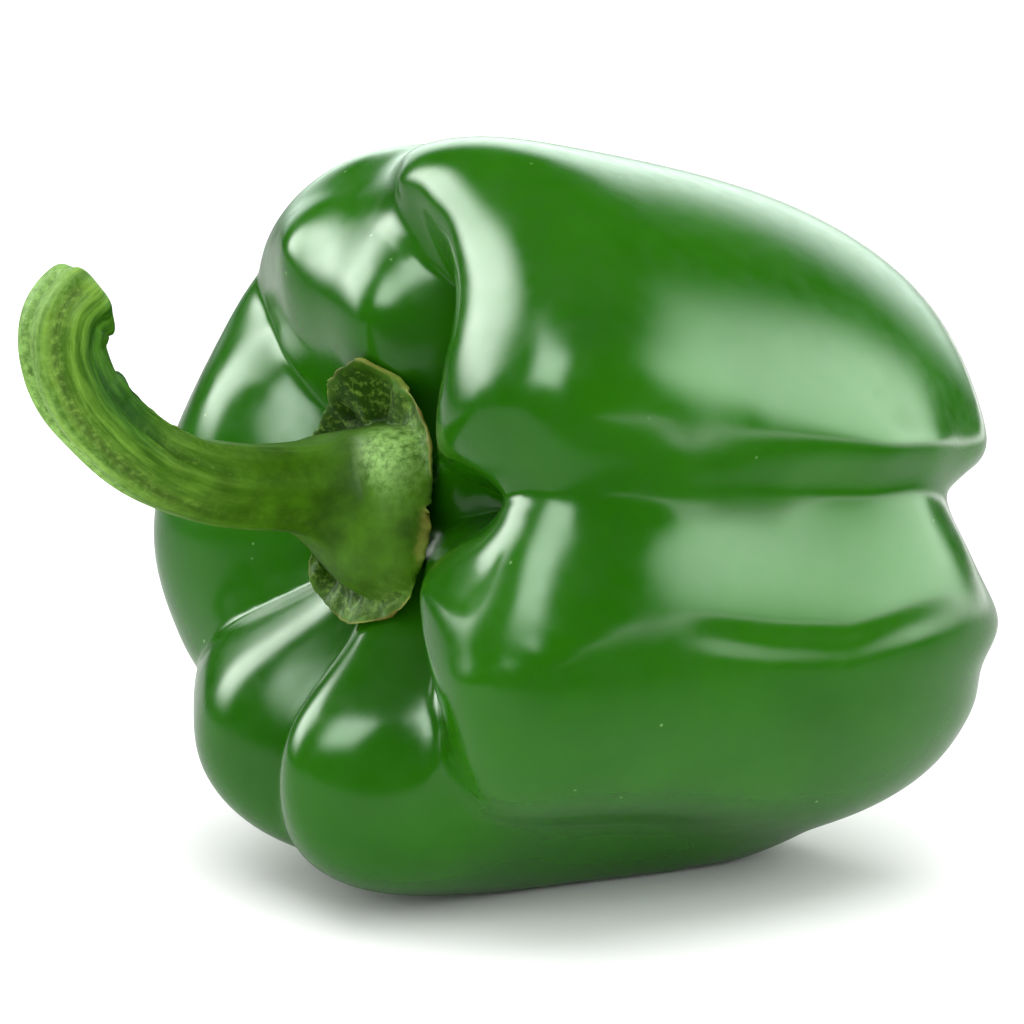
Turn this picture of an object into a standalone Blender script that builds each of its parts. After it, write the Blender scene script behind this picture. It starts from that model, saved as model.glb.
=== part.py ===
"""A green bell pepper lying on its side, with its calyx and curved stem.

The pepper is first worked out in its own frame, in millimetres: z points along the stem, angle 0 faces
the viewer once it lies down, and angle 90 faces up. It is then laid on its side, with the stem end towards
-X and tipped up a little, because the fruit tapers towards its blossom end. The origin is the middle of
the object's box, at the bottom.
"""

import math

import bmesh
import bpy
import numpy as np

MM = 0.001

# Driving dimensions of the fruit, in mm
BODY_RADIUS = 42.0
SHOULDER_HEIGHT = 26.7
BLOSSOM_DEPTH = 49.0
OUTLINE_ROUNDNESS = 0.37
END_ROUNDNESS = 0.63
TAPER = 0.056
CAVITY_DEPTH = 13.5
CAVITY_RADIUS = 18.0
BLOSSOM_DIMPLE_DEPTH = 7.0
BLOSSOM_DIMPLE_RADIUS = 10.0
LEAN = (0.06, 0.026)

# How it lies: the stem end tipped up, in degrees, and the depth of the flat spot it rests on, in mm
STEM_END_TIPPED_UP = 11.0
REST_SPOT_DEPTH = 1.9

# Stations along the skin, as shares of its length from the cavity's middle to the blossom scar, and how far
# the shoulders, walls and tips spread round them
SHOULDER = 0.22
WALL = 0.53
TIP = 0.86
SHOULDER_SPREAD = 0.15
WALL_SPREAD = 0.17
TIP_SPREAD = 0.11
RISE_SPREAD = 0.19
REACH_SPREAD = 0.13
# The creases fade out over this share of the length at each end
CREASE_FADE = 0.05
FOLD_SHARPNESS = 1.8

# A crease that swings round in the cavity does so up to this share of the length, and ends so abruptly
SWING_REACH = 0.25
SWING_END = 6

# Each crease between two lobes: where it is round the stem, its width on its two sides and how far it
# wanders round over the whole length, in degrees, then its depth in mm at the shoulder, wall and tip
CREASES = {
    "front": dict(at=12, before=31, after=20, wander=17, depths=(8.6, 4.7, 11.5)),
    "front_low": dict(at=-10, before=12, after=12, wander=-8, depths=(0.1, 0.7, 1.6)),
    "low": dict(at=-50, before=30, after=30, wander=-26, depths=(11.0, 6.0, 5.6)),
    "under": dict(at=-95, before=28, after=28, wander=0, depths=(6.5, 1.0, 4.0)),
    "behind_stem": dict(at=217, before=27, after=34, wander=4, depths=(4.2, 2.4, 6.0)),
    "back": dict(at=146, before=36, after=36, wander=-2, depths=(6.5, 3.0, 6.0)),
    "top": dict(at=112, before=34, after=34, wander=-22, depths=(11.5, 1.4, 4.6)),
}
# How far a crease swings round in the cavity, and how much narrower its second side is along the wall
SWING = {"front": 3, "low": 5, "top": -42}
STEEPER = {"front": 0.66}
STEEP_STRETCH = (0.64, 0.22)

# Each lobe: where it is round the stem in degrees, how full it is, and in mm how far its shoulder rises and
# its tip reaches
LOBES = {
    "upper_front": (46, 1.00, -4.0, -0.7),
    "upper_front_middle": (72, 0.995, -9.5, 3.2),
    "upper_front_crown": (95, 1.05, 1.0, 3.0),
    "front": (-16, 0.965, -3.0, 3.6),
    "low": (-80, 0.965, 0.5, 4.0),
    "under": (244, 0.945, -3.0, 0.5),
    "behind_stem": (182, 1.04, -6.2, 0.0),
    "top": (128, 1.14, -6.0, -0.4),
}

# The fruit's mesh: columns round the stem, crowded into the creases, and rings from end to end
COLUMNS = 100
RINGS = 48
CREASE_CROWDING = 1.7
CROWDING_WIDTH = math.radians(9)

# Driving dimensions of the calyx and stem, in mm
CALYX_RADIUS = 12.3
# Where the calyx's teeth are round the stem, in degrees, and how far each reaches
CALYX_TEETH = {100: 2.0, 149: 2.0, 231: 2.8, -67: 2.2, -32: 1.5, 2: 1.0}
TOOTH_WIDTH = math.radians(15)
SEAT_GAP = 0.35
# The calyx's rings: shares of its radius under it; the rim's lip and the groove inside it, as shares of the
# radius and mm above the skin; and shares of the way over the dome, from the groove to the stem
SEAT_RINGS = (0.2, 0.4, 0.6, 0.8, 1.0)
RIM_RINGS = ((1.0, 1.2), (0.97, 2.2), (0.90, 1.2), (0.84, 1.4))
DOME_RINGS = (0.06, 0.15, 0.3, 0.5, 0.75)
DOME_FULLNESS = 0.42
STEM_RADIUS = 4.5
CUT_END_RADIUS = 4.4
CUT_EDGE = 0.6
STEM_RIDGES = 6
RIDGE_HEIGHT = 0.35
STEM_COLUMNS = 48
STEM_RINGS = 30
# How far the stem's foot spreads, in mm, and over what share of its length
FOOT_FLARE = 2.0
FOOT_LENGTH = 0.05
# The stem's middle line above the calyx, in the lying frame before the part is centred, in mm
STEM_ROUTE = ((-19.5, 0, 7.1), (-24.0, 0, 7.9), (-29.0, 0, 8.6), (-35.5, 0, 10.0), (-41.0, 0, 12.6),
              (-45.8, 0, 16.4), (-49.6, 0, 20.6), (-51.4, 0, 25.2), (-50.9, 0, 28.6), (-48.6, 0, 30.2))


def bump(t, centre, width):
    """A smooth hill of height 1 at centre."""
    return np.exp(-((t - centre) / width) ** 2)


def blend_round(angle, places, values, sharpness=14.0):
    """A value that passes smoothly from one lobe to the next round the stem."""
    weight = np.exp(sharpness * (np.cos(angle[..., None] - np.radians(places)) - 1))
    return (weight * values).sum(-1) / weight.sum(-1)


def turn_between(a, b):
    """The shorter turn from angle b to angle a, with its sign."""
    return (a - b + np.pi) % (2 * np.pi) - np.pi


def mean_outline():
    """The outline without creases: radius, height and outward normal at each share of the skin's length."""
    turn = np.linspace(np.pi / 2, -np.pi / 2, 4001)
    across, along = np.cos(turn), np.sin(turn)
    reach = np.where(along > 0, SHOULDER_HEIGHT, BLOSSOM_DEPTH)
    height = reach * np.sign(along) * np.abs(along) ** END_ROUNDNESS
    radius = BODY_RADIUS * np.abs(across) ** OUTLINE_ROUNDNESS * (1 + TAPER * height / BLOSSOM_DEPTH)
    cavity = CAVITY_DEPTH * np.exp(-(radius / CAVITY_RADIUS) ** 3)
    dimple = BLOSSOM_DIMPLE_DEPTH * np.exp(-(radius / BLOSSOM_DIMPLE_RADIUS) ** 2)
    height = np.where(along > 0, height - cavity, height + dimple)
    length = np.concatenate([[0], np.cumsum(np.hypot(np.diff(radius), np.diff(height)))])
    share = np.linspace(0, 1, 400)
    radius = np.interp(share * length[-1], length, radius)
    height = np.interp(share * length[-1], length, height)
    step_out, step_up = np.gradient(radius), np.gradient(height)
    step = np.hypot(step_out, step_up)
    return share, radius, height, -step_up / step, step_out / step


OUTLINE = mean_outline()


def crease_place(name, t):
    """The crease's angle at each share t of the length."""
    swing = SWING.get(name, 0) * np.exp(-(t / SWING_REACH) ** SWING_END)
    return np.radians(CREASES[name]["at"] + CREASES[name]["wander"] * (t - SHOULDER) + swing)


def crease_depth(t, angle):
    """How far the creases press the skin in, in mm: sharp folds at the shoulders, soft valleys beyond."""
    total = np.zeros(np.broadcast(t, angle).shape)
    for name, crease in CREASES.items():
        shoulder, wall, tip = crease["depths"]
        at_shoulder = shoulder * bump(t, SHOULDER, SHOULDER_SPREAD)
        depth = at_shoulder + wall * bump(t, WALL, WALL_SPREAD) + tip * bump(t, TIP, TIP_SPREAD)
        off = turn_between(angle, crease_place(name, t))
        after = crease["after"] * (1 - STEEPER.get(name, 0) * bump(t, *STEEP_STRETCH))
        width = np.radians(np.where(off < 0, crease["before"], after))
        near = np.clip(1 - np.abs(off) / width, 0, 1)
        fold = np.clip(at_shoulder / depth, 0, 1)
        total = total + depth * (fold * near ** FOLD_SHARPNESS + (1 - fold) * near * near * (3 - 2 * near))
    return total * (1 - bump(t, 0, CREASE_FADE)) * (1 - bump(t, 1, CREASE_FADE))


def skin(t, angle, outside=0.0):
    """Points of the skin at shares t of its length and angles round the stem, moved outside by some mm."""
    t, angle = np.broadcast_arrays(t, angle)
    share, radius, height, normal_out, normal_up = OUTLINE
    radius, height = np.interp(t, share, radius), np.interp(t, share, height)
    normal_out, normal_up = np.interp(t, share, normal_out), np.interp(t, share, normal_up)
    places, fullness, rise, reach = (np.array(values) for values in zip(*LOBES.values()))
    full = 1 + (blend_round(angle, places, fullness) - 1) * np.clip(radius / BODY_RADIUS, 0, 1)
    shift = blend_round(angle, places, rise) * bump(t, SHOULDER, RISE_SPREAD)
    shift -= blend_round(angle, places, reach) * bump(t, TIP, REACH_SPREAD)
    inwards = crease_depth(t, angle) - outside
    radius = radius * full - inwards * normal_out
    height = height + shift - inwards * normal_up
    drop = SHOULDER_HEIGHT - height
    x = radius * np.cos(angle) + LEAN[0] * drop
    y = radius * np.sin(angle) + LEAN[1] * drop
    return np.stack([x, y, height], -1)


def lay_down(points):
    """From the pepper's own frame to the lying one: the stem towards -X, angle 0 towards -Y, angle 90 up."""
    tip = math.radians(STEM_END_TIPPED_UP)
    to_front = np.array([0.0, -1.0, 0.0])
    to_top = np.array([math.sin(tip), 0.0, math.cos(tip)])
    to_stem = np.array([-math.cos(tip), 0.0, math.sin(tip)])
    return points[..., :1] * to_front + points[..., 1:2] * to_top + points[..., 2:] * to_stem


def crowded_angles(t):
    """The columns' angles at share t, closer together in the creases, which they follow."""
    fine = np.linspace(0, 2 * np.pi, 2881)
    density = np.ones_like(fine)
    for name in CREASES:
        density += CREASE_CROWDING * bump(turn_between(fine, crease_place(name, t)), 0, CROWDING_WIDTH)
    passed = np.concatenate([[0], np.cumsum((density[1:] + density[:-1]) / 2)])
    return np.interp(np.arange(COLUMNS) / COLUMNS, passed / passed[-1], fine)


def new_object(name, collection, rings, first_pole, last_pole, material):
    """A closed body from a UV sphere, whose rings and two poles are moved to the given points, in mm."""
    columns = rings.shape[1]
    shape = bmesh.new()
    bmesh.ops.create_uvsphere(shape, u_segments=columns, v_segments=len(rings) + 1, radius=1)
    for vertex in shape.verts:
        if abs(vertex.co.z) > 1 - 1e-6:
            point = first_pole if vertex.co.z > 0 else last_pole
        else:
            ring = round(math.acos(vertex.co.z) / math.pi * (len(rings) + 1)) - 1
            column = round(math.atan2(vertex.co.y, vertex.co.x) / (2 * math.pi) * columns) % columns
            point = rings[ring, column]
        vertex.co = [float(value) * MM for value in point]
    bmesh.ops.recalc_face_normals(shape, faces=shape.faces)
    bmesh.ops.triangulate(shape, faces=shape.faces)
    mesh = bpy.data.meshes.new(name)
    shape.to_mesh(mesh)
    shape.free()
    mesh.shade_smooth()
    mesh.materials.append(material)
    made = bpy.data.objects.new(name, mesh)
    collection.objects.link(made)
    return made


def make_material(name, colour, roughness):
    material = bpy.data.materials.new(name)
    material.use_nodes = True
    surface = material.node_tree.nodes["Principled BSDF"]
    surface.inputs["Base Color"].default_value = (*colour, 1)
    surface.inputs["Roughness"].default_value = roughness
    surface.inputs["Metallic"].default_value = 0
    return material


def make_fruit(collection):
    """The fruit's body, with a small flat spot where it rests."""
    stations = np.arange(1, RINGS) / RINGS
    rings = np.array([skin(t, crowded_angles(t)) for t in stations])
    rings = lay_down(rings)
    floor = rings[..., 2].min() + REST_SPOT_DEPTH
    rings[..., 2] = np.maximum(rings[..., 2], floor)
    poles = [lay_down(skin(np.array(t), np.array(0.0))) for t in (0.0, 1.0)]
    skin_material = make_material("pepper_skin", (0.03, 0.16, 0.008), 0.18)
    return new_object("fruit", collection, rings, poles[0], poles[1], skin_material)


def smooth_route(points, steps):
    """Points at equal steps along a smooth curve through the route's points."""
    points = np.array(points)
    knots = np.concatenate([[0], np.cumsum(np.linalg.norm(np.diff(points, axis=0), axis=1))])
    padded = np.vstack([2 * points[0] - points[1], points, 2 * points[-1] - points[-2]])
    curve = []
    for i in range(len(points) - 1):
        before, start, end, after = padded[i:i + 4]
        for s in np.linspace(0, 1, 20, endpoint=False):
            bend = 2 * before - 5 * start + 4 * end - after
            twist = 3 * start - before - 3 * end + after
            curve.append(0.5 * (2 * start + (end - before) * s + bend * s ** 2 + twist * s ** 3))
    curve = np.array(curve + [points[-1]])
    knots = np.concatenate([[0], np.cumsum(np.linalg.norm(np.diff(curve, axis=0), axis=1))])
    even = np.linspace(0, knots[-1], steps)
    return np.stack([np.interp(even, knots, curve[:, i]) for i in range(points.shape[1])], -1)


def skin_share_at_radius(radius):
    """The share of the skin's length at which the cavity is this wide."""
    share, outline_radius = OUTLINE[0], OUTLINE[1]
    inside = share < SHOULDER
    return np.interp(radius, outline_radius[inside], share[inside])


def stem_rings(angle):
    """Ribbed rings along the stem's route, with the cut end's bevelled edge last."""
    route = smooth_route([(x, y, z) for x, y, z in STEM_ROUTE], STEM_RINGS)
    ahead = np.gradient(route, axis=0)
    ahead /= np.linalg.norm(ahead, axis=1, keepdims=True)
    share = np.linspace(0, 1, STEM_RINGS)
    radius = STEM_RADIUS + (CUT_END_RADIUS - STEM_RADIUS) * share
    radius = radius + FOOT_FLARE * np.exp(-share / FOOT_LENGTH)
    ribbed = radius[:, None] + RIDGE_HEIGHT * np.cos(STEM_RIDGES * angle)
    to_front = np.array([0.0, -1.0, 0.0])
    to_top = np.cross(ahead, to_front)
    to_top /= np.linalg.norm(to_top, axis=1, keepdims=True)
    across = np.cos(angle)[None, :, None] * to_front + np.sin(angle)[None, :, None] * to_top[:, None, :]
    rings = route[:, None, :] + ribbed[..., None] * across
    edge = route[-1] + CUT_EDGE * ahead[-1] + (ribbed[-1][:, None] - CUT_EDGE) * across[-1]
    return np.concatenate([rings, edge[None]]), route[-1] + CUT_EDGE * ahead[-1]


def make_calyx_and_stem(collection):
    """The calyx, seated in the cavity, and the ribbed stem that grows from it."""
    angle = np.arange(STEM_COLUMNS) / STEM_COLUMNS * 2 * np.pi
    rim_radius = np.full(STEM_COLUMNS, CALYX_RADIUS)
    for place, reach in CALYX_TEETH.items():
        rim_radius += reach * bump(turn_between(angle, math.radians(place)), 0, TOOTH_WIDTH)
    rings = []
    for share in SEAT_RINGS:
        rings.append(lay_down(skin(skin_share_at_radius(share * rim_radius), angle, SEAT_GAP)))
    for share, height in RIM_RINGS:
        rings.append(lay_down(skin(skin_share_at_radius(share * rim_radius), angle, SEAT_GAP + height)))
    stem, end = stem_rings(angle)
    # A dome rises from the groove to the stem's foot
    groove, foot = rings[-1], stem[0]
    to_stem = lay_down(np.array([0.0, 0.0, 1.0]))
    height = ((foot - groove) @ to_stem)[:, None] * to_stem
    for share in DOME_RINGS:
        rings.append(groove + (foot - groove) * share + height * (share ** DOME_FULLNESS - share))
    rings = np.concatenate([np.array(rings), stem])
    bottom = lay_down(skin(np.array(0.0), np.array(0.0), SEAT_GAP))
    material = make_material("stem_flesh", (0.10, 0.22, 0.02), 0.5)
    return new_object("calyx_and_stem", collection, rings, bottom, end, material)


def centre_on_floor(parts):
    """Moves the parts so that the box round them is centred on the origin and stands on Z = 0."""
    corners = np.array([vertex.co for part in parts for vertex in part.data.vertices])
    low, high = corners.min(axis=0), corners.max(axis=0)
    for part in parts:
        part.location = (-(low[0] + high[0]) / 2, -(low[1] + high[1]) / 2, -low[2])


for old in list(bpy.data.objects):
    bpy.data.objects.remove(old, do_unlink=True)
pepper = bpy.data.collections.new("bell_pepper")
bpy.context.scene.collection.children.link(pepper)
centre_on_floor([make_fruit(pepper), make_calyx_and_stem(pepper)])
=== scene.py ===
# %% [markdown]
# # A green bell pepper lying on its side
#
# This lesson dresses a plain solid pepper until it looks like a fresh one in a white photo studio. The
# solid pepper, called the frame, is loaded first. Its size and place are settled, so nothing here moves or
# resizes it: finer pieces take the place of its two parts, the fruit and the calyx with its stem. Places
# and sizes are in millimetres on that frame, where a comment doesn't say otherwise: the stem points to -X,
# the viewer stands on the -Y side, and Z is up.

import math

import bpy
import numpy as np
from mathutils import Matrix, Vector, noise
from mathutils.bvhtree import BVHTree


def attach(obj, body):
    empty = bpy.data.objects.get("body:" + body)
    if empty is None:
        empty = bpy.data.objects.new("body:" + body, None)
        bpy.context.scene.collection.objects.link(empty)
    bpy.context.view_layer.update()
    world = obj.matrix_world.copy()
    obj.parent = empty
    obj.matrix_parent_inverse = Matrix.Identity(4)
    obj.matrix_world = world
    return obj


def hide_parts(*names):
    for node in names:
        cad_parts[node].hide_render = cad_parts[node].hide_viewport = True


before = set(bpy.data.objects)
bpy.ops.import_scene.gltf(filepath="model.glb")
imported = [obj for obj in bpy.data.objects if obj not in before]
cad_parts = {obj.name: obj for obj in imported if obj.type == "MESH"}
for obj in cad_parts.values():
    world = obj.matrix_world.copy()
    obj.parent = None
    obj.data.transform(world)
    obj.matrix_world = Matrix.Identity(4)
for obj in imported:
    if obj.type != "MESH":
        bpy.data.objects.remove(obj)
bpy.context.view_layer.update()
# Blender's own unit here is the metre
MM = 0.001


# %% [markdown]
# ## The fruit's form
#
# The frame's fruit is made of a few thousand flat triangles, which a glossy skin would show. A copy of it
# is welded, its triangles are paired into squares, and a Subdivision Surface rounds it. The squares give
# clean reflections. Between the pairing and the rounding, the copy can still be worked by hand.

# %% Pick one object, apply its modifiers, count its triangles
def pick(piece):
    """Selects one object and nothing else."""
    bpy.ops.object.select_all(action="DESELECT")
    piece.select_set(True)
    bpy.context.view_layer.objects.active = piece


def apply_modifiers(piece):
    """Makes every modifier's result the piece's own mesh."""
    pick(piece)
    for modifier in list(piece.modifiers):
        bpy.ops.object.modifier_apply(modifier=modifier.name)


def triangles(piece):
    """How many triangles the piece's faces make."""
    return sum(len(face.vertices) - 2 for face in piece.data.polygons)


# %% Copy, weld, pair and round a frame part
WELD_WITHIN = 0.002
# Triangles are paired where they are bent against each other by less than this
PAIR_UP_TO = math.radians(60)
ROUNDING_LEVELS = 2


def fine_copy(node, name, work):
    """A rounded copy of a frame part. The work is done on it while its faces are still large."""
    piece = bpy.data.objects.new(name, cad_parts[node].data.copy())
    bpy.context.scene.collection.objects.link(piece)
    piece.data.materials.clear()
    pick(piece)
    bpy.ops.object.mode_set(mode="EDIT")
    bpy.ops.mesh.select_all(action="SELECT")
    bpy.ops.mesh.remove_doubles(threshold=WELD_WITHIN * MM)
    bpy.ops.mesh.tris_convert_to_quads(face_threshold=PAIR_UP_TO, shape_threshold=PAIR_UP_TO)
    bpy.ops.mesh.normals_make_consistent(inside=False)
    bpy.ops.object.mode_set(mode="OBJECT")
    squares = sum(len(face.vertices) == 4 for face in piece.data.polygons)
    print(name, "starts with", squares, "squares and", len(piece.data.polygons) - squares, "triangles")
    work(piece)
    rounding = piece.modifiers.new("rounding", "SUBSURF")
    rounding.levels = ROUNDING_LEVELS
    rounding.render_levels = ROUNDING_LEVELS
    apply_modifiers(piece)
    bpy.ops.object.shade_smooth()
    print(name, "has", triangles(piece), "triangles when rounded")
    return piece


# %% [markdown]
# ## Strokes on the skin
#
# No two lobes of a real pepper are alike: one is fuller up to its crease, another is pressed flat or folded
# into a notch. Such forms are quickest to make as a sculptor does, by dragging the skin and smoothing what
# crumples. Edit mode has both strokes. A move with proportional editing drags the skin round a place with
# it, less and less with the distance, and Smooth Vertices irons it.

# %% Take hold of the skin
# A stroke takes hold of the skin this near to its line
HOLD = 1.5


def take_near(piece, start, end, reach):
    """Selects the vertices near a line between two places, at least the nearest one, and opens edit mode."""
    start, end = Vector(start), Vector(end)
    line = end - start
    distances = []
    for vertex in piece.data.vertices:
        place = vertex.co / MM
        share = max(0, min(1, (place - start).dot(line) / max(line.length_squared, 0.01)))
        distances.append((place - start - line * share).length)
    reach = max(reach, min(distances) + 0.01)
    pick(piece)
    bpy.ops.object.mode_set(mode="EDIT")
    bpy.ops.mesh.select_mode(type="VERT")
    bpy.ops.mesh.select_all(action="DESELECT")
    bpy.ops.object.mode_set(mode="OBJECT")
    for vertex, distance in zip(piece.data.vertices, distances):
        vertex.select = distance <= reach
    bpy.ops.object.mode_set(mode="EDIT")


# %% Drag and iron
def drag(piece, start, end, move, reach):
    """Moves the skin along a line by a vector, fading out over a reach."""
    take_near(piece, start, end, HOLD)
    bpy.ops.transform.translate(value=Vector(move) * MM, use_proportional_edit=True,
                                use_proportional_connected=True, proportional_edit_falloff="SMOOTH",
                                proportional_size=reach * MM)
    bpy.ops.object.mode_set(mode="OBJECT")


def iron(piece, start, end, reach, times):
    """Smooths the skin near a line, a number of times over."""
    take_near(piece, start, end, reach)
    bpy.ops.mesh.vertices_smooth(factor=0.5, repeat=times)
    bpy.ops.object.mode_set(mode="OBJECT")


# %% Read and write many vertices at once
def vertex_points(piece):
    """The vertices' places in mm."""
    points = np.empty(len(piece.data.vertices) * 3)
    piece.data.vertices.foreach_get("co", points)
    return points.reshape(-1, 3) / MM


def vertex_normals(piece):
    """The vertices' normals."""
    normals = np.empty(len(piece.data.vertices) * 3)
    piece.data.vertices.foreach_get("normal", normals)
    return normals.reshape(-1, 3)


def move_vertices(piece, points):
    """Puts the vertices at new places in mm."""
    piece.data.vertices.foreach_set("co", (points * MM).ravel())
    piece.data.update()


# %% The fruit's strokes
def work_the_fruit(piece):
    """All strokes on the fruit. Each one starts from what the last one left, so their order matters."""
    before = vertex_points(piece)
    # Two small crumples where creases meet
    iron(piece, (-5.3, 12.1, 75.3), (-6.9, -5.5, 70.4), 6, 12)
    iron(piece, (-17.0, -19.5, 23.5), (-17.6, -21.0, 17.0), 6, 12)
    # The fold between the two front lobes ends in a deep dark notch beside the calyx
    iron(piece, (-11.9, -27.0, 47.0), (-8.0, -37.0, 48.6), 5, 10)
    drag(piece, (-14.5, -29.5, 43.0), (-11.5, -33.0, 43.5), (-1.2, 0.0, 1.6), 8)
    iron(piece, (-15.0, -28.0, 42.5), (-12.0, -33.0, 43.0), 8, 6)
    drag(piece, (-11.5, -17.0, 46.0), (-12.0, -19.0, 46.2), (5.0, 0.5, 0.0), 6)
    # The upper front wall stays upright down to its crease, and narrows at the blossom end
    drag(piece, (0.0, -38.5, 51.5), (27.0, -39.2, 50.5), (0.0, -1.1, 0.0), 6)
    drag(piece, (41.0, -35.5, 50.5), (40.0, -36.0, 46.0), (-1.0, 0.7, 0.0), 9)
    # The lower front lobe's lip gives more room to the calyx
    drag(piece, (-21.6, -26.3, 37.5), (-21.0, -25.5, 41.0), (1.4, 0.0, 0.0), 10)
    iron(piece, (-19.0, -28.5, 39.0), (-15.0, -31.0, 39.0), 9, 10)
    # The far left lobe reaches out a little, and its face is upright
    drag(piece, (-18.7, 30.4, 33.7), (-17.7, 30.9, 42.0), (-0.7, 0.7, 0.0), 12)
    drag(piece, (-13.0, 28.5, 53.5), (-14.6, 24.5, 49.0), (-2.3, 0.5, 0.8), 11)
    iron(piece, (-13.0, 28.5, 53.5), (-15.5, 26.0, 45.0), 8, 6)
    # The top left lobe is full up to its crease with the upper front one
    drag(piece, (-11.1, -1.3, 67.6), (-11.0, -2.0, 61.5), (-5.0, -0.6, 0.6), 11)
    iron(piece, (-12.0, 6.0, 71.0), (-14.0, 6.0, 63.0), 9, 24)
    iron(piece, (-12.5, 3.0, 70.0), (-13.0, 2.0, 62.0), 9, 8)
    # The lower left lobe reaches out a little
    drag(piece, (-25.0, 10.4, 14.9), (-23.4, 6.9, 10.9), (-0.6, 0.3, -0.3), 12)
    moved = np.linalg.norm(vertex_points(piece) - before, axis=1)
    print("the strokes moved", int((moved > 0.1).sum()), "of", len(moved), "vertices, by up to",
          round(moved.max(), 1), "mm")


fruit = fine_copy("fruit", "fruit_skin", work_the_fruit)

# %% [markdown]
# ## The faint line on the front wall
#
# A pepper's wall often has a faint line along it, where a seed rib inside holds it back. It is too fine for
# the large faces, so it is pressed into the rounded skin: each vertex near the line's route moves inwards,
# most on the route itself and not at all at its two ends.

# %% Soft steps, hills and evenly spaced points
def ramp(value, start, end):
    """A soft step from 0 at start to 1 at end."""
    share = np.clip((value - start) / (end - start), 0, 1)
    return share * share * (3 - 2 * share)


def hill(value, centre, width):
    """A soft hill, 1 at its centre."""
    return np.exp(-((value - centre) / width) ** 2)


def even_line(route, step):
    """Points every step along a route of corners, how far along each one lies, and the route's length."""
    corners = np.array(route, float)
    passed = np.concatenate([[0], np.cumsum(np.linalg.norm(np.diff(corners, axis=0), axis=1))])
    gone = np.arange(0, passed[-1], step)
    return np.stack([np.interp(gone, passed, corners[:, i]) for i in range(3)], -1), gone, passed[-1]


# %% Press the line in
FAINT_LINE = ((-4.0, -40.6, 36.0), (10.2, -41.7, 32.6), (20.1, -41.8, 31.1), (29.3, -41.3, 32.3),
              (38.9, -38.8, 33.0))
LINE_REACH = 2.6
LINE_DEPTH = 0.3
# Shares of its length where it has its full depth
FULL_FROM, FULL_TO = 0.2, 0.75
# Only vertices this near to a corner of the route are looked at, which saves time
NEAR_A_CORNER = 10


def groove(piece, route, reach, depth):
    """Presses a narrow groove into the skin along a route, fading at both ends."""
    points = vertex_points(piece)
    line, gone, length = even_line(route, 0.1)
    to_corners = ((points[:, None] - np.array(route)[None]) ** 2).sum(-1)
    near = np.flatnonzero(to_corners.min(1) < NEAR_A_CORNER ** 2)
    apart = np.sqrt(((points[near][:, None] - line[None]) ** 2).sum(-1))
    where = gone[apart.argmin(1)]
    fade = ramp(where, 0, length * FULL_FROM) * (1 - ramp(where, length * FULL_TO, length))
    press = depth * fade * (1 - ramp(apart.min(1), 0, reach))
    points[near] -= vertex_normals(piece)[near] * press[:, None]
    move_vertices(piece, points)
    print("the line is", round(length, 1), "mm long and", round(press.max(), 2), "mm deep")


groove(fruit, FAINT_LINE, LINE_REACH, LINE_DEPTH)

# %% [markdown]
# ## Colours and shader nodes
#
# Colours are easiest to pick as the hex values that a paint program shows. Blender works in linear light,
# so one function turns them. Another adds a shader node together with its settings and its incoming links,
# which keeps each material readable.

# %% Turn colours and add nodes
def linear(hex_colour):
    """An sRGB hex colour as linear red, green, blue and alpha."""
    channels = [int(hex_colour[i:i + 2], 16) / 255 for i in (1, 3, 5)]
    return [c / 12.92 if c <= 0.04045 else ((c + 0.055) / 1.055) ** 2.4 for c in channels] + [1.0]


def add(tree, kind, links=None, values=None, **settings):
    """Adds a node to a tree. Links and values are given by the input's name or number."""
    node = tree.nodes.new(kind)
    for name, value in settings.items():
        setattr(node, name, value)
    for name, value in (values or {}).items():
        node.inputs[name].default_value = value
    for name, socket in (links or {}).items():
        tree.links.new(socket, node.inputs[name])
    return node


# A Mix node keeps a set of sockets for each kind of data. These are the numbers of its colour ones.
SHARE, LOW, HIGH, MIXED = 0, 6, 7, 2

# %% [markdown]
# ## The skin
#
# A pepper's skin is green flesh under a thin smooth layer of wax. The wax makes it glossy, with soft-edged
# highlights, and small unevenness in it breaks their edges up. Under the wax the green is nearly even, a
# little lighter in patches some 2 cm across, with tiny pale specks about 3 mm apart, where the skin
# breathes.

# %% The skin's patches and specks
PATCH_SIZE = 18
SPECK_SPACING = 3.2


def skin_green(tree, place):
    """The flesh's colour under the wax."""
    patches = add(tree, "ShaderNodeTexNoise", {"Vector": place},
                  {"Scale": 1 / (PATCH_SIZE * MM), "Detail": 3.0, "Roughness": 0.55})
    green = add(tree, "ShaderNodeValToRGB", {"Fac": patches.outputs["Fac"]})
    for element, position, colour in zip(green.color_ramp.elements, (0.35, 0.65), ("#1e5c02", "#256603")):
        element.position = position
        element.color = linear(colour)
    spots = add(tree, "ShaderNodeTexVoronoi", {"Vector": place}, {"Scale": 1 / (SPECK_SPACING * MM)})
    dots = add(tree, "ShaderNodeMapRange", {"Value": spots.outputs["Distance"]},
               {"From Min": 0.03, "From Max": 0.07, "To Min": 1.0, "To Max": 0.0})
    # Each spot has its own random colour, and only the spots with much red in it show
    chance = add(tree, "ShaderNodeSeparateXYZ", {"Vector": spots.outputs["Color"]})
    few = add(tree, "ShaderNodeMapRange", {"Value": chance.outputs["X"]},
              {"From Min": 0.7, "From Max": 1.0, "To Max": 0.7})
    specks = add(tree, "ShaderNodeMath", {0: dots.outputs["Result"], 1: few.outputs["Result"]},
                 operation="MULTIPLY")
    speckled = add(tree, "ShaderNodeMix", {SHARE: specks.outputs["Value"], LOW: green.outputs["Color"]},
                   {HIGH: linear("#8fb878")}, data_type="RGBA")
    return speckled.outputs[MIXED]


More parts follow.
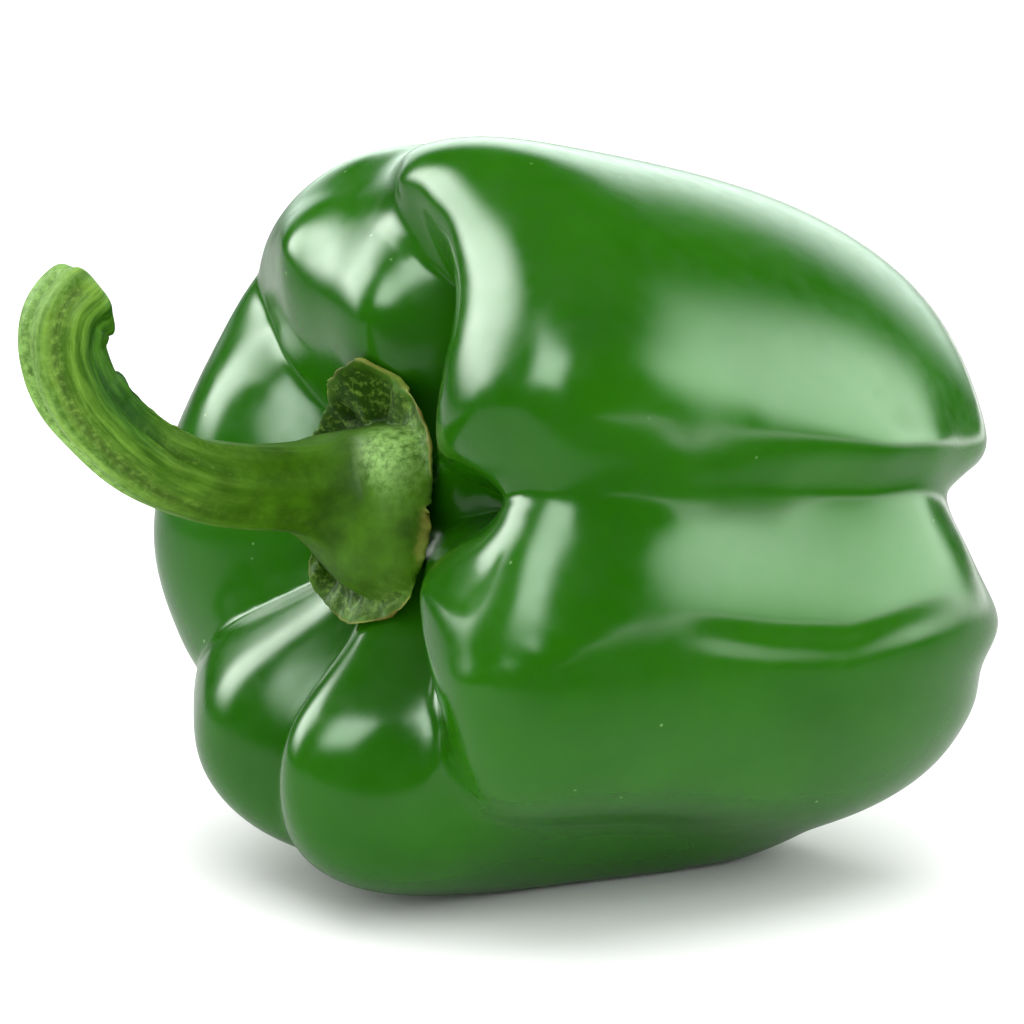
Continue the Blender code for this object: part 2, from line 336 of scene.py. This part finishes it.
# %% The waxy skin material
WAX_LUMPS = 2.5
PORE_DEPTH = 0.05


def waxy_pepper_skin():
    """Green flesh under wax: glossy, with a roughness that wanders a little and shallow pores."""
    material = bpy.data.materials.new("waxy_pepper_skin")
    material.use_nodes = True
    tree = material.node_tree
    surface = tree.nodes["Principled BSDF"]
    place = add(tree, "ShaderNodeTexCoord").outputs["Object"]
    tree.links.new(skin_green(tree, place), surface.inputs["Base Color"])
    wax = add(tree, "ShaderNodeTexNoise", {"Vector": place},
              {"Scale": 1 / (WAX_LUMPS * MM), "Detail": 4.0, "Roughness": 0.6})
    gloss = add(tree, "ShaderNodeMapRange", {"Value": wax.outputs["Fac"]},
                {"From Min": 0.3, "From Max": 0.7, "To Min": 0.15, "To Max": 0.24})
    tree.links.new(gloss.outputs["Result"], surface.inputs["Roughness"])
    pores = add(tree, "ShaderNodeBump", {"Height": wax.outputs["Fac"]},
                {"Strength": 0.15, "Distance": PORE_DEPTH * MM})
    tree.links.new(pores.outputs["Normal"], surface.inputs["Normal"])
    surface.inputs["IOR"].default_value = 1.37
    return material


fruit.data.materials.append(waxy_pepper_skin())
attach(fruit, "root")
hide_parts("fruit")
print("the fruit wears", fruit.data.materials[0].name)

# %% [markdown]
# ## The calyx and the stem
#
# The calyx is the leafy cap that grips the fruit, and the stem grows out of it as a thick ribbed stalk.
# Their finer form follows the stem's own directions: along it, round it and away from its middle line. So
# each vertex first learns where it lies in those directions.

# %% Refine the calyx and stem
def work_the_stem(piece):
    """The stem's cut end bulges a little on its inner side."""
    drag(piece, (-47.2, -0.8, 68.2), (-48.2, -0.8, 69.8), (1.6, 0.0, 0.2), 4.5)


stem = fine_copy("calyx_and_stem", "calyx_and_stem_flesh", work_the_stem)

# %% The stem's middle line
# From the foot in the calyx to the cut end, the same as in the frame
STEM_ROUTE = ((-18.5, -0.8, 45.6), (-23.0, -0.8, 46.4), (-28.0, -0.8, 47.1), (-34.5, -0.8, 48.5),
              (-40.0, -0.8, 51.1), (-44.8, -0.8, 54.9), (-48.6, -0.8, 59.1), (-50.4, -0.8, 63.7),
              (-49.9, -0.8, 67.1), (-47.6, -0.8, 68.7))
STEM_RADIUS = 4.5
ROUTE_STEP = 0.2
BEND_SMOOTHING = 21
TO_FRONT = np.array([0.0, -1.0, 0.0])


def middle_line():
    """Closely spaced points along the route, with its corners rounded by a moving average."""
    line, _, _ = even_line(STEM_ROUTE, ROUTE_STEP)
    half = BEND_SMOOTHING // 2
    padded = np.concatenate([np.repeat(line[:1], half, 0), line, np.repeat(line[-1:], half, 0)])
    weights = np.hanning(BEND_SMOOTHING + 2)[1:-1]
    weights /= weights.sum()
    return np.stack([np.convolve(padded[:, i], weights, "valid") for i in range(3)], -1)


# %% Along, round and away from the middle line
# So many points are measured at once
BLOCK = 2000


def stem_places(points):
    """For each point: how far along the stem, its angle round it, and its distance from the middle line.
    The angle is 0 at the front and 90 degrees on top. The calyx, below the stem's foot, lies below 0."""
    line = middle_line()
    ahead = np.gradient(line, axis=0)
    ahead /= np.linalg.norm(ahead, axis=1, keepdims=True)
    to_top = np.cross(ahead, TO_FRONT)
    nearest = np.empty(len(points), int)
    for start in range(0, len(points), BLOCK):
        block = points[start:start + BLOCK]
        nearest[start:start + BLOCK] = ((block[:, None] - line[None]) ** 2).sum(-1).argmin(1)
    off = points - line[nearest]
    beyond = (off * ahead[nearest]).sum(-1)
    along = nearest * ROUTE_STEP + np.where(nearest == 0, np.minimum(beyond, 0), 0)
    front = off @ TO_FRONT
    top = (off * to_top[nearest]).sum(-1)
    return along, np.arctan2(top, front), np.hypot(front, top)


points = vertex_points(stem)
normals = vertex_normals(stem)
along, angle, off_line = stem_places(points)
print("the stem is", round(along.max(), 1), "mm long;", int((along < 0).sum()), "vertices are the calyx's")

# %% [markdown]
# ## Ridges on the stem
#
# The stalk's ridges stand out more and more towards its cut end, with sharp grooves between them. Fine
# fibres run along it, and the inside of its bend is knobbly. All are small moves of the vertices along
# their normals: the grooves by the angle round the stem, the fibres and knobs by smooth noise.

# %% Turns and bumps
def turn_from(angle, degrees):
    """The angle's turn from a direction in degrees, between -180 and 180."""
    return (np.degrees(angle) - degrees + 180) % 360 - 180


def bumps(points, size):
    """Smooth noise of about -1 to 1 with lumps of this size, in the points' own units."""
    return np.array([noise.noise(Vector(p) / size) for p in points])


# %% Grooves and fibres
# Places and widths round the stem are in degrees, all else in mm
GROOVES = (20, 62, 118, 165, 215, 262, 318)
GROOVE_DEPTH = 0.55
GROOVE_WIDTH = 9
FIBRE_DEPTH = 0.16
FIBRE_THICKNESS = 0.8
FIBRE_STRETCH = 0.12

round_stem = np.stack([np.cos(angle) * STEM_RADIUS, np.sin(angle) * STEM_RADIUS, along], -1)
on_stem = ramp(along, 0, 6) * (1 - ramp(along, along.max() - 1.0, along.max() - 0.2))
ridged = 0.15 + 0.85 * ramp(along, 10, 30)
grooves = sum(np.exp(-np.abs(turn_from(angle, place)) / GROOVE_WIDTH) for place in GROOVES)
fibres = bumps(round_stem * (1, 1, FIBRE_STRETCH), FIBRE_THICKNESS)
push = -GROOVE_DEPTH * grooves * ridged + FIBRE_DEPTH * fibres
print(len(GROOVES), "grooves, up to", round((GROOVE_DEPTH * grooves * ridged * on_stem).max(), 2), "mm deep")

# %% Knobs inside the bend
# In degrees round the stem
INNER_SIDE = 80
KNOBS_FROM = 19
KNOB_HEIGHT = 0.6
KNOB_SPACING = 2.2
# The line through the noise that the knobs are read from
KNOB_ROW = 3.3

row = np.stack([np.zeros(len(along)), np.full(len(along), KNOB_ROW), along], -1)
knobs = np.maximum(bumps(row, KNOB_SPACING), -0.2)
inner_side = hill(turn_from(angle, INNER_SIDE), 0, 40) * ramp(along, KNOBS_FROM, KNOBS_FROM + 3)
push += KNOB_HEIGHT * knobs * inner_side
push *= on_stem
points += normals * push[:, None]
print("the stem's skin moves by", round(push.min(), 2), "to", round(push.max(), 2), "mm")

# %% [markdown]
# ## The calyx
#
# The calyx lies on the fruit like a thin crumpled cloth, with a dome in its middle where the stem grows
# out. So it is draped: for each of its points, a ray finds the skin below, and the point's height above the
# skin is then set. Outside the dome that is a thin wrinkled flange with a raised edge. The dome runs almost
# to the edge on the side that faces the camera, and is smaller above, below and behind.

# %% The calyx's outline, dome and edge, by the angle in degrees round the stem
CALYX_REACH = {-90: 13.8, -60: 14.4, -38: 14.2, -20: 12.8, 0: 12.0, 26: 12.0, 54: 12.5, 74: 13.2, 88: 14.6,
               104: 12.4, 130: 11.4, 150: 10.8, 190: 9.2, 222: 9.2, 246: 12.6, 262: 13.4}
DOME_REACH = {-90: 9.6, -60: 12.0, -38: 13.4, -20: 12.8, 0: 11.9, 26: 11.5, 50: 10.4, 70: 8.4, 90: 7.2,
              110: 6.9, 180: 7.0, 222: 6.9, 250: 8.2}
EDGE_RISE = {-90: 0.6, -40: 0.0, 40: 0.1, 62: 0.4, 88: 1.2, 104: 1.4, 130: 2.2, 180: 1.8, 225: 2.0,
             246: 1.6}
FLANGE_HEIGHT = 0.9
FOOT_REACH = 6.0


def by_angle(table, angle):
    """A value for each angle, from a few listed ones."""
    return np.interp(np.degrees(angle), list(table), list(table.values()), period=360)


# %% Spread the calyx to its outline
SECTORS = 60
SECTOR = 360 // SECTORS
# The stem leaves the fruit a little upwards
STEM_LIFT = math.radians(11)
TO_STEM = np.array([-math.cos(STEM_LIFT), 0, math.sin(STEM_LIFT)])
TO_TOP = np.cross(TO_STEM, TO_FRONT)

in_calyx = along < 0.2
sector = ((np.degrees(angle) + 180) // SECTOR).astype(int) % SECTORS
edge = np.array([off_line[in_calyx & (sector == i)].max() for i in range(SECTORS)])
edge = np.interp((np.degrees(angle) + 180) / SECTOR - 0.5, np.arange(SECTORS), edge, period=SECTORS)
share = np.where(in_calyx, off_line / edge, 0)
reach = off_line * (1 + (by_angle(CALYX_REACH, angle) / edge - 1) * ramp(share, 0.5, 0.9))
across = (np.cos(angle)[:, None] * TO_FRONT + np.sin(angle)[:, None] * TO_TOP) * reach[:, None]
print("calyx radius:", round(edge.min(), 1), "to", round(edge.max(), 1), "mm before,",
      round(min(CALYX_REACH.values()), 1), "to", round(max(CALYX_REACH.values()), 1), "mm after")

# %% Find the skin below
FOOT = np.array(STEM_ROUTE[0])
RAY_FROM = 20
RAY_LENGTH = 60
NO_SKIN = -8.0
SKIN_FLOOR = -6.4


def shape_in_mm(mesh):
    """A mesh that rays can be sent at."""
    return BVHTree.FromPolygons([v.co / MM for v in mesh.vertices], [f.vertices for f in mesh.polygons])


def height_of_skin(shape, where):
    """How high a fruit's skin lies below points beside the stem's foot, measured from that foot."""
    heights = np.empty(len(where))
    for i, place in enumerate(where):
        start = Vector(place + TO_STEM * RAY_FROM)
        hit, _, _, distance = shape.ray_cast(start, Vector(-TO_STEM), RAY_LENGTH)
        heights[i] = RAY_FROM - distance if hit else NO_SKIN
    return heights


# %% Heights before and after
# The calyx rests on the higher of the frame's skin and the worked one, and spans the deep notch
plain_fruit = shape_in_mm(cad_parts["fruit"].data)
worked_fruit = shape_in_mm(fruit.data)
chosen = np.flatnonzero(in_calyx & (share > 0.02))
own_height = (points[chosen] - FOOT) @ TO_STEM
above_skin = own_height - height_of_skin(plain_fruit, points[chosen] - own_height[:, None] * TO_STEM)
new_places = FOOT + across[chosen]
skin = np.maximum(height_of_skin(plain_fruit, new_places), height_of_skin(worked_fruit, new_places))
skin = np.maximum(skin, SKIN_FLOOR)
print("the skin lies", round(-skin.max(), 1), "to", round(-skin.min(), 1), "mm below the stem's foot")

# %% Flange and dome
# The wrinkles are noise read on a ring, so that they run outwards: about so many fit round and across it
WRINKLES_ROUND = 9
WRINKLES_OUT = 1.5
RIPPLE_HEIGHT = 0.25
FOLD_HEIGHT = 1.1

outward, turn, reached = share[chosen], angle[chosen], reach[chosen]
spokes = np.stack([np.cos(turn) * WRINKLES_ROUND, np.sin(turn) * WRINKLES_ROUND, outward * WRINKLES_OUT], -1)
outside_dome = ramp(reached - by_angle(DOME_REACH, turn), -0.8, 1.2)
flange = FLANGE_HEIGHT + by_angle(EDGE_RISE, turn) * ramp(outward, 0.72, 1.0)
flange += RIPPLE_HEIGHT * bumps(spokes, 0.5) * ramp(outward, 0.7, 0.9)
flange += FOLD_HEIGHT * bumps(spokes, 1.5) * outside_dome * (1 - 0.8 * ramp(outward, 0.9, 1.0))
down_dome = np.clip((reached - FOOT_REACH) / (by_angle(DOME_REACH, turn) - FOOT_REACH), 0, 1)
# How much of the way from the foot's height down to the flange's each point of the dome has fallen
fall = 1 - (1 - down_dome ** 2.2) ** 0.62
print("the flange stands", round(flange.min(), 1), "to", round(flange.max(), 1), "mm above the skin")

# %% Drape the calyx
# Only its upper side is shaped: the underside, which lies on the skin, keeps its own height above it
upper_side = ramp(above_skin, 0.5, 1.2)
plain = skin + above_skin
height = plain + ((skin + flange) * fall - plain) * upper_side
points[chosen] = FOOT + across[chosen] + height[:, None] * TO_STEM
move_vertices(stem, points)
print("draped", len(chosen), "vertices of the calyx")

# %% Let the stem flare softly into the dome
at_foot = (along < 3.5) & (off_line < 9) & (share < 0.65)
pick(stem)
stem.data.vertices.foreach_set("select", at_foot)
bpy.ops.object.mode_set(mode="EDIT")
bpy.ops.mesh.vertices_smooth(factor=0.5, repeat=12)
bpy.ops.object.mode_set(mode="OBJECT")
print("smoothed", int(at_foot.sum()), "vertices at the stem's foot")

# %% [markdown]
# ## The stem's flesh
#
# The stalk's skin is fibrous and hardly glossy: light and dark green streaks run along it, finer across
# than along. So the noise that mixes them is stretched in the stem's own directions, which the attribute
# "grain" holds in mm. Other attributes hold painted light and shade: painted shade in the calyx's folds, in
# the stem's grooves and on the inside of the bend, a painted highlight on the dome, painted light on the
# stem's outer side near the cut end, and a pale band low on the flange. One more says where the calyx's edge
# has dried brown, and a pale painted highlight runs along it there too.

# %% Keep the directions and the zones for the material
# Edge: dried brown with a painted highlight; fold: painted shade; pale: painted light and a pale band;
# shade: painted shade
ZONES = ("edge", "fold", "pale", "shade")
stem.data.attributes.new("grain", "FLOAT_VECTOR", "POINT").data.foreach_set("vector", round_stem.ravel())
zones = {name: np.zeros(len(points)) for name in ZONES}
# The calyx's edge has dried brown, and a pale painted highlight runs along it
zones["edge"][chosen] = ramp(outward, 0.97, 0.99)
# Painted shade in the flange's folds outside the dome and in the stem's grooves
zones["fold"][chosen] = outside_dome * (1 - ramp(outward, 0.9, 0.96))
zones["fold"] = np.maximum(zones["fold"], np.clip(grooves, 0, 1) * on_stem * ridged)
# A painted highlight where the dome faces the light, a pale band low on the flange's outer part, and
# painted light on the stem's outer side near the cut end
lit_dome = hill(turn_from(turn, 38), 0, 26) * hill(outward, 0.78, 0.18) * ramp(outward, 0.4, 0.7)
zones["pale"][chosen] = lit_dome + 0.8 * hill(turn_from(turn, -75), 0, 25) * hill(outward, 0.9, 0.1)
zones["pale"] += 0.8 * hill(turn_from(angle, -110), 0, 50) * ramp(along, 14, 30)
# Painted shade on the inside of the bend towards the cut end
zones["shade"] = (1 - ramp(np.abs(turn_from(angle, 90)), 75, 122)) * ramp(along, 21, 30)
for name, values in zones.items():
    stem.data.attributes.new(name, "FLOAT", "POINT").data.foreach_set("value", values)
    print(name, "covers", round(100 * (values > 0.5).mean(), 1), "per cent of the vertices")

# %% Streaks, blotches and mottle
# Streaks per mm: two directions across the stem, then along it
STREAKS_PER_MM = (1.1, 1.1, 0.12)
BLOTCH_SIZE = 5
MOTTLE_SIZE = 0.9


def stem_patterns(tree):
    """Streaks along the stem, soft blotches, fine mottle, and the distance up the stem in mm."""
    grain = add(tree, "ShaderNodeAttribute", attribute_name="grain").outputs["Vector"]
    place = add(tree, "ShaderNodeTexCoord").outputs["Object"]
    stretched = add(tree, "ShaderNodeVectorMath", {0: grain}, {1: STREAKS_PER_MM}, operation="MULTIPLY")
    streaks = add(tree, "ShaderNodeTexNoise", {"Vector": stretched.outputs["Vector"]},
                  {"Scale": 1.0, "Detail": 4.0, "Roughness": 0.65})
    blotches = add(tree, "ShaderNodeTexNoise", {"Vector": place},
                   {"Scale": 1 / (BLOTCH_SIZE * MM), "Detail": 6.0, "Roughness": 0.6})
    mottle = add(tree, "ShaderNodeTexNoise", {"Vector": place},
                 {"Scale": 1 / (MOTTLE_SIZE * MM), "Detail": 5.0, "Roughness": 0.7})
    where = add(tree, "ShaderNodeSeparateXYZ", {"Vector": grain})
    return streaks.outputs["Fac"], blotches.outputs["Fac"], mottle.outputs["Fac"], where.outputs["Z"]


# %% Green, blotched near the calyx and streaked towards the cut end
def living_green(tree, blotched, lined, up_the_stem):
    """The fresh flesh's colour."""
    near_calyx = add(tree, "ShaderNodeMix", {SHARE: blotched},
                     {LOW: linear("#2a4f00"), HIGH: linear("#42700a")}, data_type="RGBA")
    near_end = add(tree, "ShaderNodeMix", {SHARE: lined},
                   {LOW: linear("#3a6502"), HIGH: linear("#82ac3c")}, data_type="RGBA")
    share = add(tree, "ShaderNodeMapRange", {"Value": up_the_stem}, {"From Min": 10.0, "From Max": 36.0})
    green = add(tree, "ShaderNodeMix", {SHARE: share.outputs["Result"], LOW: near_calyx.outputs[MIXED],
                                        HIGH: near_end.outputs[MIXED]}, data_type="RGBA")
    return green.outputs[MIXED]


# %% Layers over the green
def shading_and_dry_edge(tree, green, mottle, blotched, lined):
    """Painted shade in the folds and grooves, painted light, painted shade inside the bend, and the dried
    edge with its painted highlight, each laid over the last.
    """
    edge, fold, pale, shade = (add(tree, "ShaderNodeAttribute", attribute_name=name).outputs["Fac"]
                               for name in ZONES)
    flecks = add(tree, "ShaderNodeMapRange", {"Value": mottle}, {"From Min": 0.5, "From Max": 0.68})
    patchy = add(tree, "ShaderNodeMapRange", {"Value": mottle}, {"From Min": 0.3, "From Max": 0.6})
    # The zone, what breaks it up, its strength, the pattern that mixes its two colours, and these colours
    # Painted shade in the folds and grooves, painted light, painted shade inside the bend, the dried edge
    # and its painted highlight
    layers = ((fold, None, 0.75, flecks.outputs["Result"], "#1f3c00", "#7ba03a"),
              (pale, patchy.outputs["Result"], 1.0, blotched, "#8fbb62", "#8fbb62"),
              (shade, None, 0.85, lined, "#154500", "#3a740c"),
              (edge, None, 1.0, blotched, "#6f682c", "#8fa648"))
    for zone, broken_by, strength, pattern, low, high in layers:
        amount = add(tree, "ShaderNodeMath", {0: zone}, {1: strength}, operation="MULTIPLY")
        if broken_by:
            amount = add(tree, "ShaderNodeMath", {0: amount.outputs["Value"], 1: broken_by},
                         operation="MULTIPLY")
        colour = add(tree, "ShaderNodeMix", {SHARE: pattern}, {LOW: linear(low), HIGH: linear(high)},
                     data_type="RGBA")
        green = add(tree, "ShaderNodeMix", {SHARE: amount.outputs["Value"], LOW: green,
                                            HIGH: colour.outputs[MIXED]}, data_type="RGBA").outputs[MIXED]
    return green


# %% The stem's material
GRIT_DEPTH = 0.12


def green_stem_flesh():
    """Fibrous plant flesh: dull, with a fine grit and hardly any mirror light."""
    material = bpy.data.materials.new("green_stem_flesh")
    material.use_nodes = True
    tree = material.node_tree
    surface = tree.nodes["Principled BSDF"]
    streaks, blotches, mottle, up_the_stem = stem_patterns(tree)
    blotched = add(tree, "ShaderNodeMapRange", {"Value": blotches}, {"From Min": 0.36, "From Max": 0.66})
    lined = add(tree, "ShaderNodeMapRange", {"Value": streaks}, {"From Min": 0.4, "From Max": 0.7})
    blotched, lined = blotched.outputs["Result"], lined.outputs["Result"]
    green = living_green(tree, blotched, lined, up_the_stem)
    tree.links.new(shading_and_dry_edge(tree, green, mottle, blotched, lined), surface.inputs["Base Color"])
    grit = add(tree, "ShaderNodeBump", {"Height": mottle}, {"Strength": 0.5, "Distance": GRIT_DEPTH * MM})
    tree.links.new(grit.outputs["Normal"], surface.inputs["Normal"])
    surface.inputs["Roughness"].default_value = 0.5
    surface.inputs["Specular IOR Level"].default_value = 0.1
    return material


stem.data.materials.append(green_stem_flesh())
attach(stem, "root")
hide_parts("calyx_and_stem")
print("the calyx and stem wear", stem.data.materials[0].name)

# %% [markdown]
# ## The camera
#
# The camera looks from the left of the front and a little from above, through a long lens, so that the
# pepper shows in the same shape and place as in its photograph. The lens follows from how many pixels a
# millimetre takes at the pepper, and the shift puts the point it aims at where it lies in the picture.

# %% Place the camera
PICTURE = 1024
PIXELS_PER_MM = 9.21
CAMERA_DISTANCE = 560 * MM
CAMERA_AZIMUTH = math.radians(-35)
CAMERA_ELEVATION = math.radians(11.3)
AIM = Vector((1.01, -0.77, 38.53)) * MM
AIM_IN_PICTURE = (475.5, 535.3)
SENSOR = 36

away = Vector((math.sin(CAMERA_AZIMUTH) * math.cos(CAMERA_ELEVATION),
               -math.cos(CAMERA_AZIMUTH) * math.cos(CAMERA_ELEVATION), math.sin(CAMERA_ELEVATION)))
rightwards = Vector((math.cos(CAMERA_AZIMUTH), math.sin(CAMERA_AZIMUTH), 0))
bpy.ops.object.camera_add()
camera = bpy.context.object
camera.name = "camera"
camera.matrix_world = (Matrix.Translation(AIM + away * CAMERA_DISTANCE)
                       @ Matrix((rightwards, away.cross(rightwards), away)).transposed().to_4x4())
camera.data.sensor_width = SENSOR
camera.data.lens = PIXELS_PER_MM / MM * CAMERA_DISTANCE * SENSOR / PICTURE
camera.data.shift_x = (PICTURE / 2 - AIM_IN_PICTURE[0]) / PICTURE
camera.data.shift_y = (AIM_IN_PICTURE[1] - PICTURE / 2) / PICTURE
camera.data.clip_start = 0.01
bpy.context.scene.camera = camera
print("camera lens", round(camera.data.lens, 1), "mm")

# %% [markdown]
# ## The table
#
# The pepper lies on white paper in front of a white background. If its skin mirrored all that white, its
# green would look milky. A photographer lays black cloths round a glossy thing for that. Here the paper
# itself is dark in front, but only in the skin's mirror image of it: the camera and the matt light still
# see white paper. Far off on the right it is bright again in the mirror image, under the window there.

# %% The white paper
DARK_IN_FRONT_OF = -105 * MM
PALE_BEHIND = -55 * MM
# The way to the far bright patch, the distance where it starts and the one over which it brightens
BRIGHT_SIDE = (0.85, -0.53, 0.0)
BRIGHT_FROM = 190 * MM
BRIGHT_FADE = 250 * MM
PAPER_WHITE = 0.95


def white_paper():
    """Matt paper, whose mirror image in the skin is dark in front and bright far off on the right."""
    material = bpy.data.materials.new("white_paper")
    material.use_nodes = True
    tree = material.node_tree
    surface = tree.nodes["Principled BSDF"]
    place = add(tree, "ShaderNodeTexCoord").outputs["Object"]
    where = add(tree, "ShaderNodeSeparateXYZ", {"Vector": place})
    near = add(tree, "ShaderNodeMapRange", {"Value": where.outputs["Y"]},
               {"From Min": DARK_IN_FRONT_OF, "From Max": PALE_BEHIND, "To Min": 0.01, "To Max": 0.55})
    sideways = add(tree, "ShaderNodeVectorMath", {0: place}, {1: BRIGHT_SIDE}, operation="DOT_PRODUCT")
    far = add(tree, "ShaderNodeMapRange", {"Value": sideways.outputs["Value"]},
              {"From Min": BRIGHT_FROM, "From Max": BRIGHT_FROM + BRIGHT_FADE, "To Max": 2.6})
    in_mirror = add(tree, "ShaderNodeMath", {0: near.outputs["Result"], 1: far.outputs["Result"]},
                    operation="MAXIMUM")
    ray = add(tree, "ShaderNodeLightPath")
    grey = add(tree, "ShaderNodeMapRange",
               {"Value": ray.outputs["Is Glossy Ray"], "To Max": in_mirror.outputs["Value"]},
               {"To Min": PAPER_WHITE})
    tree.links.new(grey.outputs["Result"], surface.inputs["Base Color"])
    surface.inputs["Roughness"].default_value = 0.9
    surface.inputs["Specular IOR Level"].default_value = 0.0
    return material


# %% Lay the table
# In metres
TABLE_SIZE = 6
bpy.ops.object.select_all(action="DESELECT")
bpy.ops.mesh.primitive_plane_add(size=TABLE_SIZE)
table = bpy.context.object
table.name = "white_table"
table.data.materials.append(white_paper())
print("the table is", TABLE_SIZE, "m wide")

# %% [markdown]
# ## The lights
#
# Each bright shape on the skin is a mirror image of one large soft light, so the lights are placed by where
# the skin mirrors them towards the camera. These windows are seen only in the mirror image, so each
# highlight can be placed without a second shadow. Their tints are faintly green, as the highlights in the
# photograph are. The matt light comes evenly from a pale dome and a box overhead.

# %% Soft edges
# The share of a light's width that its fading edges take up
EDGE_SOFTNESS = 0.7


def soften_edges(lamp):
    """Fades the light out towards its four edges, as a cloth in front of it does."""
    lamp.use_nodes = True
    tree = lamp.node_tree
    here = add(tree, "ShaderNodeNewGeometry")
    sides = add(tree, "ShaderNodeSeparateXYZ", {"Vector": here.outputs["Parametric"]})
    fades = []
    for side in ("X", "Y"):
        middle = add(tree, "ShaderNodeMath", {0: sides.outputs[side]}, {1: 0.5}, operation="SUBTRACT")
        off = add(tree, "ShaderNodeMath", {0: middle.outputs["Value"]}, operation="ABSOLUTE")
        fades.append(add(tree, "ShaderNodeMapRange", {"Value": off.outputs["Value"]},
                         {"From Min": 0.5 - EDGE_SOFTNESS / 2, "From Max": 0.5, "To Min": 1.0,
                          "To Max": 0.0}, interpolation_type="SMOOTHSTEP"))
    both = add(tree, "ShaderNodeMath", {0: fades[0].outputs["Result"], 1: fades[1].outputs["Result"]},
               operation="MULTIPLY")
    tree.links.new(both.outputs["Value"], tree.nodes["Emission"].inputs["Strength"])


# %% One soft light
# In metres
LIGHT_DISTANCE = 0.8


def soft_light(name, azimuth, elevation, width, height, radiance, tint="#ffffff", in_mirror=True):
    """A rectangle of light that gives either only mirror images or only matt light. Its place and its size
    are angles in degrees as seen from the pepper. Azimuth is from +X towards +Y."""
    turn, lift = math.radians(azimuth), math.radians(elevation)
    towards = Vector((math.cos(turn) * math.cos(lift), math.sin(turn) * math.cos(lift), math.sin(lift)))
    lamp = bpy.data.lights.new(name, "AREA")
    lamp.shape = "RECTANGLE"
    lamp.size = 2 * LIGHT_DISTANCE * math.tan(math.radians(width) / 2)
    lamp.size_y = 2 * LIGHT_DISTANCE * math.tan(math.radians(height) / 2)
    lamp.energy = radiance * math.pi * lamp.size * lamp.size_y
    lamp.color = linear(tint)[:3]
    holder = bpy.data.objects.new(name, lamp)
    bpy.context.scene.collection.objects.link(holder)
    holder.location = AIM + towards * LIGHT_DISTANCE
    holder.rotation_euler = towards.to_track_quat("Z", "Y").to_euler()
    if in_mirror:
        soften_edges(lamp)
    holder.visible_glossy = in_mirror
    holder.visible_diffuse = not in_mirror
    holder.visible_camera = False
    return holder


# %% Windows, wall and boxes
# The two bright patches on the front walls
soft_light("right_window", -32, 20, 62, 66, 11, "#e4ffe5")
# The highlights on the shoulders and on the upper left lobes
soft_light("left_window", 129, 33, 44, 56, 18, "#f4fff5")
# The highlights on the two lower left lobes
soft_light("left_front_box", -161, 43, 40, 44, 16, "#f0fff4")
# The pale rim along the top's far edge
soft_light("back_wall", 47, 18, 84, 38, 3.0, "#ecfff4")
# Matt light from above
soft_light("overhead_box", 0, 90, 70, 70, 2.1, in_mirror=False)

# %% A light for the table only
# It keeps the paper white round the pepper and leaves the pepper as it is
table_only = bpy.data.collections.new("table_only")
table_only.objects.link(table)
table_light = soft_light("table_light", -125, 32, 100, 40, 1.8, in_mirror=False)
table_light.light_linking.receiver_collection = table_only
print("lights:", [lamp.name for lamp in bpy.data.lights])

# %% The pale dome
DOME_LIGHT = 0.8
DOME_IN_MIRROR = 0.01
world = bpy.data.worlds.new("white_studio")
bpy.context.scene.world = world
world.use_nodes = True
sky = world.node_tree
ray = add(sky, "ShaderNodeLightPath")
# White to the camera, pale as light, and almost black in mirror images
unmirrored = add(sky, "ShaderNodeMapRange", {"Value": ray.outputs["Is Camera Ray"]},
                 {"To Min": DOME_LIGHT, "To Max": 1.0})
strength = add(sky, "ShaderNodeMapRange",
               {"Value": ray.outputs["Is Glossy Ray"], "To Min": unmirrored.outputs["Result"]},
               {"To Max": DOME_IN_MIRROR})
sky.nodes["Background"].inputs["Color"].default_value = (1, 1, 1, 1)
sky.links.new(strength.outputs["Result"], sky.nodes["Background"].inputs["Strength"])
bpy.context.scene.view_settings.view_transform = "Standard"
print("the dome's strength is", DOME_LIGHT)
